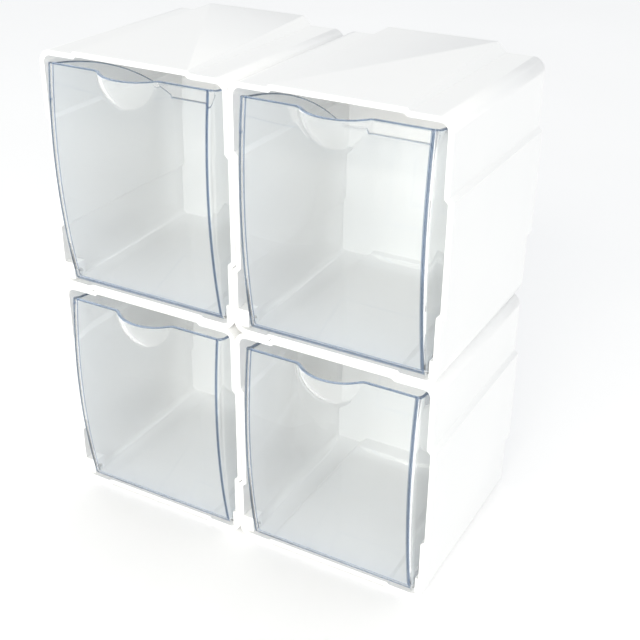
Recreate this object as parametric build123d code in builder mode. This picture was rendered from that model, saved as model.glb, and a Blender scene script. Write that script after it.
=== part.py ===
from build123d import *
from math import atan2, cos, hypot, radians, sin, sqrt
import os

os.makedirs("parts", exist_ok=True)

# A desktop stack of four interlocking units, two across and two high.
# Each unit is a white open-front housing that holds a clear tilt-out bin.
# One unit is drawn in its own frame (X = 0 on its middle plane, Y = 0 on its
# front plane, Z = 0 on its underside), then both mouldings are set out in the stack.

# ---------------------------------------------------------------- unit sizes
INCH = 25.4
unit_width = 4.75 * INCH            # pitch from unit to unit across
unit_height = 5.5 * INCH            # pitch from unit to unit upwards
unit_depth = 4.875 * INCH
unit_gap = 0.3                      # play between neighbouring housings

# ------------------------------------------------------------------- housing
wall = 2.8
corner_radius = 7.0
body_width = unit_width - unit_gap
body_height = unit_height - unit_gap

# Interlock: rails on the top and right, channels in the bottom and left.
top_rail_half = 38.0                # half width at the foot of the rail
top_rail_front = 1.4                # rise at the front; the rail climbs to the back
top_rail_back = 5.2
side_rail_half = 32.0
side_rail_rise = 2.2
side_mid = unit_height / 2
channel_play = 0.35                 # play beside a rail in its channel
miter = sqrt(2) - 1                 # foot shift of a 45 degree flank, per mm of wall

# ---------------------------------------------------------------- bin hinge
pivot_y = 3.0
pivot_z = 9.0
pin_radius = 2.2
hole_radius = 2.26
pin_reach = 58.2                    # pin tip, from the middle plane
hole_reach = 58.6
pad_gap = 1.0                       # from the side of the bin to the pivot pad
pad_depth = 9.0
pad_low = 4.6
pad_high = 14.5

# ----------------------------------------------------------------------- bin
bin_half = 52.2
bin_mid = 2.4                       # the side channel pushes the bin off the middle plane
bin_wall = 2.0
panel_wall = 2.2
heel_radius = 4.5                   # rounding of the lower front edge, about the hinge
panel_top_y = -6.0
panel_top_z = 135.0
panel_bow = 5.5                     # how far the front panel bows out of its chord
side_front_z = 134.0                # top edge of the side walls: front, middle and back
side_mid_y = 44.0
side_mid_z = 122.8
side_back_z = 89.2
back_y = 103.0                      # outer face of the bin's back wall
floor_back_z = 7.9                  # underside of the bin's floor at the back
back_radius = 8.0                   # rounding where the floor turns up into the back wall
panel_edge = 1.2                    # rounding of the panel's upright edges
panel_mid_z = 70.0
rim_z = 140.0                       # the hollow is cut up past the panel's top
heel_turn = radians(12.0)           # the panel leaves the heel leaning forward
heel_inset = 1.5

# Finger lip in the middle of the panel's top edge.
lip_half = 23.0
lip_flat_half = 9.0
lip_drop = 0.7
dome_radius = 27.6
dome_y = 13.6
dome_wall = 2.0
lip_round = 6.0

columns = (("left", -0.5), ("right", 0.5))
rows = (("lower", 0), ("upper", 1))


def wedge_bar(half_base, base_z, front_rise, back_rise, length):
    """Bar along Y on a flat foot, with 45 degree flanks and a top that climbs to the back."""
    with BuildPart() as bar:
        with BuildSketch(Plane.XZ):
            Polygon(
                (-half_base, base_z),
                (half_base, base_z),
                (half_base - back_rise, base_z + back_rise),
                (back_rise - half_base, base_z + back_rise),
                align=None,
            )
        extrude(amount=-length)
        with BuildSketch(Plane.YZ):
            Polygon(
                (0, base_z + front_rise),
                (length, base_z + back_rise),
                (length, base_z + 2 * back_rise),
                (0, base_z + 2 * back_rise),
                align=None,
            )
        extrude(amount=half_base, both=True, mode=Mode.SUBTRACT)
    return bar.part


def side_bar(half_base, base_x, rise, length):
    """Bar along Y that stands out to +X from base_x, with 45 degree flanks."""
    with BuildPart() as bar:
        with BuildSketch(Plane.XZ):
            Polygon(
                (base_x, side_mid - half_base),
                (base_x + rise, side_mid - half_base + rise),
                (base_x + rise, side_mid + half_base - rise),
                (base_x, side_mid + half_base),
                align=None,
            )
        extrude(amount=-length)
    return bar.part


# Tool bodies for the interlock. A channel is a rail with play at its flanks; its
# roof rests on the rail below, and the flats beside it stay one gap apart.
inside_depth = unit_depth - wall
channel_half = top_rail_half + channel_play
channel_front = top_rail_front - unit_gap
channel_back = top_rail_back - unit_gap
side_channel_half = side_rail_half + channel_play
half_width = body_width / 2

top_rail = wedge_bar(top_rail_half, body_height, top_rail_front, top_rail_back, unit_depth)
top_pocket = wedge_bar(
    top_rail_half - miter * wall, body_height - wall, top_rail_front, top_rail_back, inside_depth
)
channel = wedge_bar(channel_half, 0, channel_front, channel_back, unit_depth)
floor_rise = wedge_bar(channel_half + miter * wall, wall, channel_front, channel_back, unit_depth)
side_rail = side_bar(side_rail_half, half_width, side_rail_rise, unit_depth)
side_pocket = side_bar(
    side_rail_half - miter * wall, half_width - wall, side_rail_rise, inside_depth
)
side_channel = side_bar(side_channel_half, -half_width, side_rail_rise, unit_depth)
side_rise = side_bar(
    side_channel_half + miter * wall, wall - half_width, side_rail_rise, unit_depth
)

# ------------------------------------------------------------------- housing
with BuildPart() as housing:
    with BuildSketch(Plane.XZ) as shell_outline:
        with Locations((0, body_height / 2)):
            RectangleRounded(body_width, body_height, corner_radius)
    extrude(amount=-unit_depth)
    add(top_rail)
    add(side_rail)

    # Hollow inside, open at the front, with the rails hollow behind their skin.
    with BuildSketch(Plane.XZ) as hollow_outline:
        with Locations((0, body_height / 2)):
            RectangleRounded(
                body_width - 2 * wall, body_height - 2 * wall, corner_radius - wall
            )
    extrude(amount=-inside_depth, mode=Mode.SUBTRACT)
    add(top_pocket, mode=Mode.SUBTRACT)
    add(side_pocket, mode=Mode.SUBTRACT)

    # Channels pressed into the bottom and left side at full wall thickness.
    add(floor_rise)
    add(side_rise)
    add(channel, mode=Mode.SUBTRACT)
    add(side_channel, mode=Mode.SUBTRACT)

    # Pivot pads on both inner sides, with a blind hole in each.
    for side in (-1, 1):
        pad_inner = bin_mid + side * (bin_half + pad_gap)
        pad_outer = side * (half_width - wall / 2)
        with Locations(((pad_inner + pad_outer) / 2, pad_depth / 2, (pad_low + pad_high) / 2)):
            Box(abs(pad_outer - pad_inner), pad_depth, pad_high - pad_low)
        with BuildSketch(Plane.YZ.offset(pad_inner)):
            with Locations((pivot_y, pivot_z)):
                Circle(hole_radius)
        extrude(amount=side * hole_reach - pad_inner, mode=Mode.SUBTRACT)

# ----------------------------------------------------------------------- bin
# The front panel is a shallow arc from the heel to its top edge.
foot_y = pivot_y - heel_radius * cos(heel_turn)
foot_z = pivot_z - heel_radius * sin(heel_turn)
panel_chord = hypot(foot_y - panel_top_y, panel_top_z - foot_z)
panel_lean = atan2(foot_y - panel_top_y, panel_top_z - foot_z)
panel_radius = (panel_chord**2 / 4 + panel_bow**2) / (2 * panel_bow)
panel_centre_y = (foot_y + panel_top_y) / 2 + (panel_radius - panel_bow) * cos(panel_lean)
panel_centre_z = (foot_z + panel_top_z) / 2 + (panel_radius - panel_bow) * sin(panel_lean)


def panel_y(z, inset):
    """Y of the front panel at height z, on the surface that lies inset behind its face."""
    return panel_centre_y - sqrt((panel_radius - inset) ** 2 - (z - panel_centre_z) ** 2)


def dome_cap(radius):
    """Finger dome: a ball centred level with the lip, cut off behind the panel and at the top."""
    cut = 2 * radius
    with BuildPart() as cap:
        with Locations((0, dome_y, lip_z)):
            Sphere(radius)
        with Locations((0, panel_inner_y + cut / 2, lip_z)):
            Box(cut, cut, cut, mode=Mode.SUBTRACT)
        with Locations((0, dome_y, rim_z + cut / 2)):
            Box(cut, cut, cut, mode=Mode.SUBTRACT)
    return cap.part


panel_inner_y = panel_top_y + panel_wall
heel_low_z = pivot_z - heel_radius
heel_mid = (
    pivot_y - heel_radius * cos(radians(45)),
    pivot_z - heel_radius * sin(radians(45)),
)
lip_z = panel_top_z - lip_drop
hollow_half = bin_half - bin_wall
hollow_back_y = back_y - bin_wall
hollow_low_z = heel_low_z + bin_wall
hollow_heel_z = pivot_z + heel_inset

with BuildPart() as tilt_bin:
    # Outer block: the side view, extruded across the full width.
    with BuildSketch(Plane.YZ) as side_view:
        with BuildLine():
            ThreePointArc(
                (foot_y, foot_z), (panel_y(panel_mid_z, 0), panel_mid_z), (panel_top_y, panel_top_z)
            )
            Polyline(
                (panel_top_y, panel_top_z),
                (panel_inner_y, panel_top_z),
                (panel_inner_y, side_front_z),
            )
            ThreePointArc(
                (panel_inner_y, side_front_z), (side_mid_y, side_mid_z), (back_y, side_back_z)
            )
            Polyline(
                (back_y, side_back_z),
                (back_y, floor_back_z),
                (pivot_y, heel_low_z),
            )
            ThreePointArc((pivot_y, heel_low_z), heel_mid, (foot_y, foot_z))
        make_face()
        rear_corner = side_view.vertices().group_by(Axis.X)[-1].sort_by(Axis.Y)[0]
        fillet(rear_corner, radius=back_radius)
    extrude(amount=bin_half, both=True)
    upright_edges = tilt_bin.edges().filter_by(GeomType.CIRCLE).group_by(Axis.Y)[0]
    fillet(upright_edges, radius=panel_edge)

    # Finger dome on the face of the panel.
    add(dome_cap(dome_radius))

    # Hollow, open at the top, and the hollow back of the dome.
    with BuildSketch(Plane.YZ) as hollow_view:
        with BuildLine():
            ThreePointArc(
                (panel_y(hollow_heel_z, panel_wall), hollow_heel_z),
                (panel_y(panel_mid_z, panel_wall), panel_mid_z),
                (panel_y(rim_z, panel_wall), rim_z),
            )
            Polyline(
                (panel_y(rim_z, panel_wall), rim_z),
                (hollow_back_y, rim_z),
                (hollow_back_y, floor_back_z + bin_wall),
                (pivot_y, hollow_low_z),
                (panel_y(hollow_heel_z, panel_wall), hollow_heel_z),
            )
        make_face()
        rear_corner = hollow_view.vertices().group_by(Axis.X)[-1].sort_by(Axis.Y)[0]
        fillet(rear_corner, radius=back_radius - bin_wall)
    extrude(amount=hollow_half, both=True, mode=Mode.SUBTRACT)
    add(dome_cap(dome_radius - dome_wall), mode=Mode.SUBTRACT)

    # Dip in the panel's top edge above the dome.
    with BuildSketch(Plane.XZ.offset(dome_radius)) as dip_view:
        Polygon(
            (-lip_half, rim_z),
            (-lip_half, panel_top_z),
            (-lip_flat_half, lip_z),
            (lip_flat_half, lip_z),
            (lip_half, panel_top_z),
            (lip_half, rim_z),
            align=None,
        )
        fillet(dip_view.vertices().group_by(Axis.Y)[0], radius=lip_round)
    extrude(amount=-dome_radius - dome_wall, mode=Mode.SUBTRACT)

    # Pivot pins.
    for side in (-1, 1):
        with BuildSketch(Plane.YZ.offset(side * bin_half)):
            with Locations((pivot_y, pivot_z)):
                Circle(pin_radius)
        extrude(amount=side * (pin_reach - bin_half) - bin_mid)

# --------------------------------------------------------- the stack of four
# Origin: middle of the stack's outline seen from above, on the desk.
front_y = tilt_bin.part.bounding_box().min.Y
shift_x = -side_rail_rise / 2
shift_y = -(front_y + unit_depth) / 2

for row_name, row in rows:
    for column_name, column in columns:
        place = Location((shift_x + column * unit_width, shift_y, row * unit_height))
        for kind, moulding, off in (("housing", housing.part, 0), ("bin", tilt_bin.part, bin_mid)):
            piece = moulding.moved(place * Location((off, 0, 0)))
            piece.label = f"{kind}_{row_name}_{column_name}"
            export_step(piece, f"parts/{piece.label}.step")
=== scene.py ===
import math

import bmesh
import bpy
from mathutils import Matrix, Vector


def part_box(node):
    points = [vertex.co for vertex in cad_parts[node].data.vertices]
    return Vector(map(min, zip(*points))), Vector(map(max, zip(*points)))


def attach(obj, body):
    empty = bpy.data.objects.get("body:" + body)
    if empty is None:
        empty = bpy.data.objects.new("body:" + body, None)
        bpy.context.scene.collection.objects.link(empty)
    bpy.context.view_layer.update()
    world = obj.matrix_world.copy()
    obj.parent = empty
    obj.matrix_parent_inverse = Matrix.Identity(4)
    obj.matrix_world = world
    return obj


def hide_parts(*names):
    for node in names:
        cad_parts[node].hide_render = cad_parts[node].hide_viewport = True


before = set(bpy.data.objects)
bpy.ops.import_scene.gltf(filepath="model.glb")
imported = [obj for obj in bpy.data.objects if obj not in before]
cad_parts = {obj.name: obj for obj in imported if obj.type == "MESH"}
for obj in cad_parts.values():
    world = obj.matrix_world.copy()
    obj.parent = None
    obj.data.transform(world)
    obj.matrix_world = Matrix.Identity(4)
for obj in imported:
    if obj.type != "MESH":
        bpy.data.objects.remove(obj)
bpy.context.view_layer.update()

# A stack of four interlocking desktop units: white open-front housings, each with
# a clear tilt-out bin. Lengths below are millimetres in one unit's own frame:
# X = 0 on its middle plane, Y = 0 on the housing's front, Z = 0 on its underside.
# Points named in pairs are (y, z). Inside a bin, X is counted from the bin's own middle.
MM = 0.001

# -------------------------------------------------------------- bin in its unit
BIN_MID = 2.4               # the bin sits this far right of the unit's middle
BIN_LOW_Z = 4.5             # the bin's lowest point
LIP_FRONT_Y = -14.0         # the bin's foremost point, on the finger lip

# -------------------------------------------------------------------- bin sizes
BIN_HALF = 52.2
PANEL_WALL = 2.2
SIDE_WALL = 2.0             # side walls, floor and back wall
PANEL_TOP = (-6.0, 135.0)
PANEL_BOW = 5.5             # how far the panel bows out of its chord
BACK_Y = 103.0
BACK_R = 8.0                # rounding where the floor turns up into the back wall
FLOOR_BACK_Z = 7.9          # underside of the floor at the back
SIDE_ARC = ((-3.8, 134.0), (44.0, 122.8), (103.0, 89.2))    # top edge of a side wall
OUTER_EDGE_R = 1.6          # rounding of the upright edges, outside and inside
INNER_EDGE_R = 0.9
RIM_R = 0.75
RIM_SHARE = 0.48            # where the wall is thin, the rim's radius is this share of it

# Hinge: the heel is round about it, and a pin stands out at each side.
PIVOT = (3.0, 9.0)
HEEL_R = 4.5
HEEL_TURN = math.radians(12.0)
PIN_R = 2.2
PIN_REACH = 58.2            # the pins' tips, from the unit's middle
PIN_FOOT = 0.5              # flare at the pin's foot and bevel at its tip
PIN_SUNK = 0.6              # how far the pin starts inside the side wall
PIN_SIDES = 32

# Finger lip: the panel's top edge dips and swells forward over a shallow scoop.
LIP_HALF = 23.0
LIP_FLAT_HALF = 9.0
LIP_DROP = 0.7
LIP_LOW_Z = 114.0           # the dip dies out down to this height
SCOOP_R = 27.6
SCOOP_CENTRE = (13.6, 134.3)
SCOOP_WALL = 2.0
SCOOP_BLEND = 1.5           # how softly the scoop runs into the panel
SCOOP_SLACK = 0.35          # a point this near the scoop's ball counts as on it

# -------------------------------------------------------------------- bin meshes
LIP_COLUMNS_HALF = 26       # the panel has one column for each mm this far from its middle
SIDE_COLUMNS = 8            # columns from there to each side
EDGE_STRIP = 0.7            # width of the flat strip beside an upright edge
CORNER_STEPS = 4            # faces across each rounded upright edge
TOP_ROWS = 25               # close rows of the panel's mesh, over the finger scoop
TOP_ROW = 0.9               # their height
PANEL_ROWS = 59             # rows of the panel's mesh in all
SCOOP_ROWS = 37             # the scoop lies within this many of them
HEEL_ROWS = 8
FLOOR_ROWS = 10
BACK_CORNER_ROWS = 8
BACK_ROWS = 8
SIDE_STEPS = 36             # steps along a side wall's curved top edge
RIM_STEPS = 3               # faces across each quarter of the rounded rim
PAINTED_SHADE_COLUMNS = (3, 4)       # faces of an upright edge painted dark as shade, counted from its side wall
PAINTED_SHADE_ROWS = (58, 61)        # rows under the panel at the heel painted dark as shade, counted from its top
SMOOTH_ANGLE = math.radians(50)


# ------------------------------------------------------------------ materials
def new_material(name):
    mat = bpy.data.materials.new(name)
    mat.use_nodes = True
    nt = mat.node_tree
    return mat, nt, nt.nodes["Principled BSDF"]


def object_place(nt):
    return nt.nodes.new("ShaderNodeTexCoord").outputs["Object"]


def noise(nt, coord, scale, detail=2.0, roughness=0.5):
    n = nt.nodes.new("ShaderNodeTexNoise")
    n.inputs["Scale"].default_value = scale
    n.inputs["Detail"].default_value = detail
    n.inputs["Roughness"].default_value = roughness
    nt.links.new(coord, n.inputs["Vector"])
    return n.outputs["Fac"]


def spread(nt, value, low, high):
    """Noise, most of which lies between 0.3 and 0.7, spread over low to high."""
    n = nt.nodes.new("ShaderNodeMapRange")
    n.inputs["From Min"].default_value = 0.3
    n.inputs["From Max"].default_value = 0.7
    n.inputs["To Min"].default_value = low
    n.inputs["To Max"].default_value = high
    nt.links.new(value, n.inputs["Value"])
    return n.outputs["Result"]


def tint(nt, tone, low, high, shader):
    """The base colour: from low to high as the noise goes from low to high."""
    n = nt.nodes.new("ShaderNodeMix")
    n.data_type = "RGBA"
    n.inputs[6].default_value = (*low, 1.0)
    n.inputs[7].default_value = (*high, 1.0)
    nt.links.new(spread(nt, tone, 0.0, 1.0), n.inputs[0])
    nt.links.new(n.outputs[2], shader.inputs["Base Color"])


def bump(nt, height, strength, distance, below=None):
    n = nt.nodes.new("ShaderNodeBump")
    n.inputs["Strength"].default_value = strength
    n.inputs["Distance"].default_value = distance
    nt.links.new(height, n.inputs["Height"])
    if below is not None:
        nt.links.new(below, n.inputs["Normal"])
    return n.outputs["Normal"]


def white_plastic():
    """Satin white moulding: a very slight mottle, a fine spark texture and a broad waviness."""
    mat, nt, shader = new_material("white_plastic")
    place = object_place(nt)
    tint(nt, noise(nt, place, 14.0, 3.0), (0.925, 0.930, 0.930), (0.945, 0.948, 0.945), shader)
    grain = noise(nt, place, 2200.0, 2.0, 0.6)
    nt.links.new(spread(nt, grain, 0.30, 0.42), shader.inputs["Roughness"])
    broad = bump(nt, noise(nt, place, 22.0, 1.0), 0.12, 0.0006)
    nt.links.new(bump(nt, grain, 0.10, 0.00012, broad), shader.inputs["Normal"])
    shader.inputs["IOR"].default_value = 1.5
    return mat


def clear_plastic(name, low, high, through, clarity, roughness):
    """Clear moulding with a blue tint, very slightly uneven, as flow marks leave it.

    The light of lamps, and soft light on its way between other surfaces, passes straight
    through and takes on the colour through. The rest is slightly hazy, by 1 - clarity."""
    mat, nt, shader = new_material(name)
    place = object_place(nt)
    tone = noise(nt, place, 18.0)
    tint(nt, tone, low, high, shader)
    nt.links.new(spread(nt, tone, roughness, roughness + 0.02), shader.inputs["Roughness"])
    nt.links.new(bump(nt, noise(nt, place, 30.0, 1.0), 0.05, 0.0004), shader.inputs["Normal"])
    shader.inputs["IOR"].default_value = 1.49
    shader.inputs["Transmission Weight"].default_value = clarity
    straight = nt.nodes.new("ShaderNodeBsdfTransparent")
    straight.inputs["Color"].default_value = (*through, 1.0)
    path = nt.nodes.new("ShaderNodeLightPath")
    either = nt.nodes.new("ShaderNodeMath")
    either.operation = "MAXIMUM"
    nt.links.new(path.outputs["Is Shadow Ray"], either.inputs[0])
    nt.links.new(path.outputs["Is Reflection Ray"], either.inputs[1])
    mix = nt.nodes.new("ShaderNodeMixShader")
    nt.links.new(either.outputs[0], mix.inputs[0])
    nt.links.new(shader.outputs[0], mix.inputs[1])
    nt.links.new(straight.outputs[0], mix.inputs[2])
    nt.links.new(mix.outputs[0], nt.nodes["Material Output"].inputs["Surface"])
    return mat


WHITE = white_plastic()
BIN_PLASTICS = (
    clear_plastic(
        "clear_plastic",
        (0.953, 0.976, 0.994), (0.964, 0.982, 0.997), (0.995, 0.998, 0.999), 0.94, 0.01,
    ),
    # Painted shade: a dark blue clear plastic on the rim, the upright edges and the heel line,
    # standing in for the dark lines that refraction shows along the clear plastic's edges.
    clear_plastic(
        "clear_plastic_painted_edge_shade",
        (0.11, 0.17, 0.29), (0.15, 0.22, 0.35), (0.55, 0.66, 0.84), 0.90, 0.04,
    ),
    clear_plastic(
        "clear_plastic_scoop",
        (0.955, 0.977, 0.988), (0.967, 0.984, 0.992), (0.995, 0.998, 0.999), 0.87, 0.08,
    ),
)
CLEAR, PAINTED_EDGE_SHADE, SCOOP = range(3)       # places in BIN_PLASTICS, for the faces; the second is the painted dark edge shade


# ------------------------------------------------------------------- housings
def dress_housing(obj):
    """A moulded edge rounding on the CAD shape, which itself stays as it is."""
    obj.data.materials.clear()
    obj.data.materials.append(WHITE)
    weld = obj.modifiers.new("weld", "WELD")
    weld.merge_threshold = 0.01 * MM
    edge = obj.modifiers.new("moulded_edges", "BEVEL")
    edge.width = 0.5 * MM
    edge.segments = 2
    edge.limit_method = "ANGLE"
    edge.angle_limit = math.radians(40)
    edge.harden_normals = True
    edge.use_clamp_overlap = True


# --------------------------------------------------------------- bin's outline
def circle_through(a, b, c):
    """Centre and radius of the circle through three points."""
    d = 2 * (a[0] * (b[1] - c[1]) + b[0] * (c[1] - a[1]) + c[0] * (a[1] - b[1]))
    sq = [p[0] ** 2 + p[1] ** 2 for p in (a, b, c)]
    ux = (sq[0] * (b[1] - c[1]) + sq[1] * (c[1] - a[1]) + sq[2] * (a[1] - b[1])) / d
    uy = (sq[0] * (c[0] - b[0]) + sq[1] * (a[0] - c[0]) + sq[2] * (b[0] - a[0])) / d
    return (ux, uy), math.hypot(a[0] - ux, a[1] - uy)


def arc(centre, radius, start, end, count):
    """Points and unit directions to the centre, from one angle to another."""
    made = []
    for i in range(count + 1):
        t = start + (end - start) * i / count
        out = (math.cos(t), math.sin(t))
        made.append((
            (centre[0] + radius * out[0], centre[1] + radius * out[1]),
            (-out[0], -out[1]),
        ))
    return made


# The panel's front face is an arc from its top to the foot, where the heel begins.
FOOT = (
    PIVOT[0] - HEEL_R * math.cos(HEEL_TURN),
    PIVOT[1] - HEEL_R * math.sin(HEEL_TURN),
)
CHORD = math.hypot(FOOT[0] - PANEL_TOP[0], PANEL_TOP[1] - FOOT[1])
LEAN = math.atan2(FOOT[0] - PANEL_TOP[0], PANEL_TOP[1] - FOOT[1])
PANEL_R = (CHORD**2 / 4 + PANEL_BOW**2) / (2 * PANEL_BOW)
PANEL_CENTRE = (
    (FOOT[0] + PANEL_TOP[0]) / 2 + (PANEL_R - PANEL_BOW) * math.cos(LEAN),
    (FOOT[1] + PANEL_TOP[1]) / 2 + (PANEL_R - PANEL_BOW) * math.sin(LEAN),
)


def panel_y(z, inset):
    """Y of the panel's front face, or of a face inset behind it, at a height."""
    return PANEL_CENTRE[0] - math.sqrt((PANEL_R - inset) ** 2 - (z - PANEL_CENTRE[1]) ** 2)


def smooth(t):
    t = min(max(t, 0.0), 1.0)
    return t * t * (3 - 2 * t)


def side_profile():
    """The bin's outline from the panel's top edge down, under the floor and up the back wall.

    Each entry is (point, inward direction, wall), in (y, z)."""
    rows = []
    heights = [PANEL_TOP[1] - RIM_R - TOP_ROW * i for i in range(TOP_ROWS)]
    top, low = heights[-1], FOOT[1]
    steps = PANEL_ROWS - TOP_ROWS
    heights += [top + (low - top) * (i + 1) / steps for i in range(steps)]
    for z in heights:
        p = (panel_y(z, 0), z)
        n = ((PANEL_CENTRE[0] - p[0]) / PANEL_R, (PANEL_CENTRE[1] - p[1]) / PANEL_R)
        rows.append((p, n, PANEL_WALL))

    heel = arc(PIVOT, HEEL_R, math.pi + HEEL_TURN, 1.5 * math.pi, HEEL_ROWS)[1:]
    for i, (p, n) in enumerate(heel):
        wall = PANEL_WALL + (SIDE_WALL - PANEL_WALL) * (i + 1) / HEEL_ROWS
        rows.append((p, n, wall))

    slope = math.atan2(FLOOR_BACK_Z - BIN_LOW_Z, BACK_Y - PIVOT[0])
    up = (-math.sin(slope), math.cos(slope))
    mid_y = BACK_Y - BACK_R
    mid_z = BIN_LOW_Z + math.tan(slope) * (mid_y - PIVOT[0]) + BACK_R / math.cos(slope)
    corner = arc((mid_y, mid_z), BACK_R, slope - math.pi / 2, 0.0, BACK_CORNER_ROWS)
    start, end = heel[-1][0], corner[0][0]
    for i in range(1, FLOOR_ROWS):
        t = i / FLOOR_ROWS
        point = (start[0] + (end[0] - start[0]) * t, start[1] + (end[1] - start[1]) * t)
        rows.append((point, up, SIDE_WALL))
    rows += [(p, n, SIDE_WALL) for p, n in corner]

    back_top = SIDE_ARC[2][1] - RIM_R
    for i in range(1, BACK_ROWS + 1):
        z = mid_z + (back_top - mid_z) * i / BACK_ROWS
        rows.append(((BACK_Y, z), (-1.0, 0.0), SIDE_WALL))
    return rows


def side_edge():
    """The curved top edge of a side wall, front to back, without its ends."""
    centre, radius = circle_through(*SIDE_ARC)
    first = math.atan2(SIDE_ARC[0][1] - centre[1], SIDE_ARC[0][0] - centre[0])
    last = math.atan2(SIDE_ARC[2][1] - centre[1], SIDE_ARC[2][0] - centre[0])
    pts = arc(centre, radius, first, last, SIDE_STEPS)
    return [(p[0] + n[0] * RIM_R, p[1] + n[1] * RIM_R) for p, n in pts[1:-1]]


# ------------------------------------------------------------------ bin's skins
def shape_panel(x, z, inset):
    """Y and Z of a panel point, pulled down to the dipped edge and out over the scoop."""
    dip = smooth((LIP_HALF - abs(x)) / (LIP_HALF - LIP_FLAT_HALF))
    top = smooth((z - LIP_LOW_Z) / (PANEL_TOP[1] - LIP_LOW_Z))
    z = z - LIP_DROP * dip * top
    flat = panel_y(z, inset)
    radius = SCOOP_R - (SCOOP_WALL if inset else 0.0)
    reach = radius**2 - x * x - (z - SCOOP_CENTRE[1]) ** 2
    if reach <= 0:
        return flat, z
    ball = SCOOP_CENTRE[0] - math.sqrt(reach)
    h = min(max(0.5 + 0.5 * (flat - ball) / SCOOP_BLEND, 0.0), 1.0)
    return flat * (1 - h) + ball * h - SCOOP_BLEND * h * (1 - h), z


def columns():
    """X of the outer skin's columns between the upright edges' roundings."""
    inner = [float(i) for i in range(-LIP_COLUMNS_HALF, LIP_COLUMNS_HALF + 1)]
    side = BIN_HALF - OUTER_EDGE_R
    run = side - EDGE_STRIP - LIP_COLUMNS_HALF
    outer = [LIP_COLUMNS_HALF + run * (i + 1) / SIDE_COLUMNS for i in range(SIDE_COLUMNS)]
    outer.append(side)
    return [-x for x in reversed(outer)] + inner + outer


def skin(rows, inner):
    """One skin of the tub: a strip for each row of the profile, from side to side."""
    edge_r = INNER_EDGE_R if inner else OUTER_EDGE_R
    half = BIN_HALF - (SIDE_WALL if inner else 0.0)
    scale = (half - edge_r) / (BIN_HALF - OUTER_EDGE_R)
    made = []
    for row, ((py, pz), (ny, nz), wall) in enumerate(rows):
        inset = wall if inner else 0.0
        y, z = py + ny * inset, pz + nz * inset
        line = [(x * scale, y, z) for x in columns()]
        if row <= PANEL_ROWS:       # the heel's first row still follows the panel
            line = [(x, *shape_panel(x, z, inset)) for x, _, z in line]
        corner = []
        for i in range(1, CORNER_STEPS + 1):
            t = 0.5 * math.pi * i / CORNER_STEPS
            lift = edge_r * (1 - math.cos(t))
            x = half - edge_r + edge_r * math.sin(t)
            corner.append((x, y + ny * lift, z + nz * lift))
        made.append([(-x, y, z) for x, y, z in reversed(corner)] + line + corner)
    return made


def on_scoop(points, inner):
    """Whether all of a face's points lie on the scoop's ball."""
    radius = SCOOP_R - (SCOOP_WALL if inner else 0.0)
    return all(
        abs(math.hypot(x, y - SCOOP_CENTRE[0], z - SCOOP_CENTRE[1]) - radius) <= SCOOP_SLACK
        for x, y, z in points
    )


def face_plastic(points, row, from_side, inner):
    """Which plastic a face of a skin has: painted dark shade on the edges, a frosted scoop, or
    plain.
    """
    # Painted shade: dark lines along the upright edges and under the panel at the heel.
    upright = row < PANEL_ROWS and PAINTED_SHADE_COLUMNS[0] <= from_side <= PAINTED_SHADE_COLUMNS[1]
    heel = PAINTED_SHADE_ROWS[0] <= row <= PAINTED_SHADE_ROWS[1] and from_side >= PAINTED_SHADE_COLUMNS[0]
    if upright or heel:
        return PAINTED_EDGE_SHADE
    if row < SCOOP_ROWS and on_scoop(points, inner):
        return SCOOP
    return CLEAR


# ------------------------------------------------------------------ bin's mesh
def add_skin(bm, vert, rows, inner):
    """Builds a skin and its two side walls. Returns the loop of points along its rim."""
    grid = skin(rows, inner)
    verts = [[vert(*p) for p in line] for line in grid]
    last = len(grid[0]) - 1
    for row, (a, b) in enumerate(zip(verts, verts[1:])):
        for i in range(last):
            quad = (a[i], a[i + 1], b[i + 1], b[i])
            face = bm.faces.new(quad if inner else tuple(reversed(quad)))
            points = grid[row][i:i + 2] + grid[row + 1][i:i + 2]
            face.material_index = face_plastic(points, row, min(i, last - 1 - i), inner)
    half = BIN_HALF - (SIDE_WALL if inner else 0.0)
    edges = {}
    for side, column in ((-1, 0), (1, -1)):
        edges[side] = [vert(side * half, y, z) for y, z in side_edge()]
        wall = [line[column] for line in verts] + list(reversed(edges[side]))
        bm.faces.new(wall if (side < 0) != inner else list(reversed(wall)))
    return verts[0] + edges[1] + list(reversed(verts[-1])) + list(reversed(edges[-1]))


def add_rim(bm, outer, inner):
    """The rounded rim from the outer skin's loop over to the inner one's."""
    count = len(outer)
    frames = []
    for k in range(count):
        o, i = outer[k].co, inner[k].co
        across = (i - o).normalized()
        along = (outer[(k + 1) % count].co - outer[k - 1].co).normalized()
        up = along.cross(across).normalized()
        if up.z < 0:
            up.negate()
        r = min(RIM_R * MM, RIM_SHARE * (i - o).length)
        frames.append((o + across * r, i - across * r, across * r, up * r))
    turns = [0.5 * math.pi * j / RIM_STEPS for j in range(RIM_STEPS + 1)]
    loops = [outer]
    for t in turns[1:]:
        loops.append([
            bm.verts.new(near - across * math.cos(t) + up * math.sin(t))
            for near, far, across, up in frames
        ])
    for t in turns[:-1]:
        loops.append([
            bm.verts.new(far + across * math.sin(t) + up * math.cos(t))
            for near, far, across, up in frames
        ])
    loops.append(inner)
    made = [
        bm.faces.new((a[k], a[(k + 1) % count], b[(k + 1) % count], b[k]))
        for a, b in zip(loops, loops[1:])
        for k in range(count)
    ]
    bmesh.ops.recalc_face_normals(bm, faces=bm.faces)
    # The whole rim gets the painted dark edge shade.
    for face in made:
        face.material_index = PAINTED_EDGE_SHADE


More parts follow.
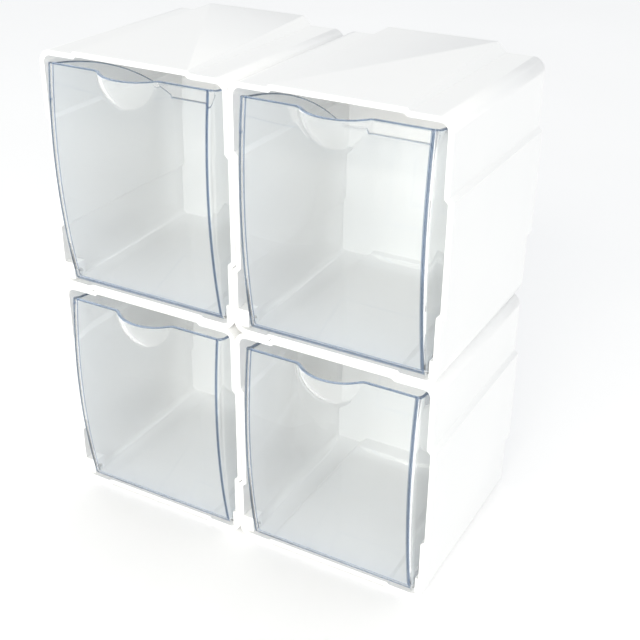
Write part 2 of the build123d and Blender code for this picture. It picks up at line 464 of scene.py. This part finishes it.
def add_pin(bm, vert, side):
    """A pivot pin, from inside the side wall to its bevelled tip."""
    tip = side * PIN_REACH - BIN_MID
    foot_r = PIN_R + PIN_FOOT
    stations = (
        (side * (BIN_HALF - PIN_SUNK), foot_r),
        (side * BIN_HALF, foot_r),
        (side * (BIN_HALF + PIN_FOOT), PIN_R),
        (tip - side * PIN_FOOT, PIN_R),
        (tip, PIN_R - PIN_FOOT),
    )
    rings = []
    for x, r in stations:
        turns = [2 * math.pi * i / PIN_SIDES for i in range(PIN_SIDES)]
        rings.append([
            vert(x, PIVOT[0] + r * math.cos(t), PIVOT[1] + r * math.sin(t)) for t in turns
        ])
    made = [bm.faces.new(rings[0]), bm.faces.new(list(reversed(rings[-1])))]
    for a, b in zip(rings, rings[1:]):
        for i in range(PIN_SIDES):
            n = (i + 1) % PIN_SIDES
            made.append(bm.faces.new((a[i], b[i], b[n], a[n])))
    bmesh.ops.recalc_face_normals(bm, faces=made)


def finish_mesh(bm, name, materials):
    mesh = bpy.data.meshes.new(name)
    bm.to_mesh(mesh)
    bm.free()
    for material in materials:
        mesh.materials.append(material)
    obj = bpy.data.objects.new(name, mesh)
    bpy.context.scene.collection.objects.link(obj)
    return obj


def build_bin(name, origin):
    """The clear bin as one closed tub with a rounded rim, and its two pivot pins."""
    bm = bmesh.new()

    def vert(x, y, z):
        return bm.verts.new((
            origin[0] + (x + BIN_MID) * MM,
            origin[1] + y * MM,
            origin[2] + z * MM,
        ))

    rows = side_profile()
    outer, inner = (add_skin(bm, vert, rows, is_inner) for is_inner in (False, True))
    add_rim(bm, outer, inner)
    for side in (-1, 1):
        add_pin(bm, vert, side)
    for face in bm.faces:
        face.smooth = True
    for edge in bm.edges:
        if len(edge.link_faces) == 2 and edge.calc_face_angle(0) > SMOOTH_ANGLE:
            edge.smooth = False
    return finish_mesh(bm, name, BIN_PLASTICS)


# ----------------------------------------------------------------- the pieces
for cad_node in sorted(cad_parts):
    if cad_node.startswith("housing"):
        dress_housing(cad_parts[cad_node])
        continue
    low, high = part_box(cad_node)
    origin = Vector((
        (low.x + high.x) / 2,
        low.y - LIP_FRONT_Y * MM,
        low.z - BIN_LOW_Z * MM,
    ))
    tub = build_bin("clear_" + cad_node, origin)
    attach(tub, cad_node)
    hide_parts(cad_node)


# ---------------------------------------------------------------------- stage
def make_floor():
    """A pale floor, lifted a little by its own light, as a lit studio sweep is."""
    reach, cells = 6.0, 12
    bm = bmesh.new()
    places = [reach * (2 * i / cells - 1) for i in range(cells + 1)]
    grid = [[bm.verts.new((x, y, 0.0)) for x in places] for y in places]
    for a, b in zip(grid, grid[1:]):
        for i in range(cells):
            bm.faces.new((a[i], a[i + 1], b[i + 1], b[i]))
    mat, nt, shader = new_material("pale_floor")
    tone = noise(nt, object_place(nt), 3.0)
    tint(nt, tone, (0.95, 0.95, 0.95), (0.97, 0.97, 0.97), shader)
    shader.inputs["Roughness"].default_value = 0.6
    shader.inputs["Emission Color"].default_value = (1.0, 1.0, 1.0, 1.0)
    shader.inputs["Emission Strength"].default_value = 0.10
    floor = finish_mesh(bm, "floor", (mat,))


def add_light(name, place, aim, size, power, colour):
    data = bpy.data.lights.new(name, "AREA")
    data.shape = "RECTANGLE"
    data.size, data.size_y = size
    data.energy = power
    data.color = colour
    lamp = bpy.data.objects.new(name, data)
    lamp.location = place
    lamp.rotation_euler = (Vector(aim) - Vector(place)).to_track_quat("-Z", "Y").to_euler()
    bpy.context.scene.collection.objects.link(lamp)


def light_scene():
    """An even white surround, a soft lamp on the right and a warmer one in front."""
    world = bpy.data.worlds.new("studio")
    world.use_nodes = True
    sky = world.node_tree.nodes["Background"]
    sky.inputs["Color"].default_value = (0.97, 0.985, 1.0, 1.0)
    sky.inputs["Strength"].default_value = 0.835
    bpy.context.scene.world = world
    add_light("key", (1.6, -0.6, 1.0), (0.0, 0.0, 0.12), (1.2, 1.2), 2.3, (1.0, 0.998, 0.990))
    add_light("front", (0.1, -1.9, 0.85), (0.0, 0.0, 0.14), (1.6, 1.4), 24.5, (1.0, 0.955, 0.850))
    bpy.context.scene.view_settings.view_transform = "Standard"


def add_camera():
    """Stands to the right of the front, above the top, as the product picture does."""
    data = bpy.data.cameras.new("camera")
    data.lens = 61.56
    data.sensor_width = 36.0
    camera = bpy.data.objects.new("camera", data)
    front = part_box("housing_lower_left")[0].y
    place = Vector((0.2935, front - 0.4406, 0.4260))
    ahead = Vector((-0.4245, 0.7756, -0.4672)).normalized()
    level = ahead.cross(Vector((0, 0, 1))).normalized()
    roll = Matrix.Rotation(math.radians(0.69), 3, -ahead)
    right = roll @ level
    up = right.cross(ahead)
    turn = Matrix((right, up, -ahead)).transposed()
    camera.matrix_world = Matrix.Translation(place) @ turn.to_4x4()
    bpy.context.scene.collection.objects.link(camera)
    bpy.context.scene.camera = camera


make_floor()
light_scene()
add_camera()
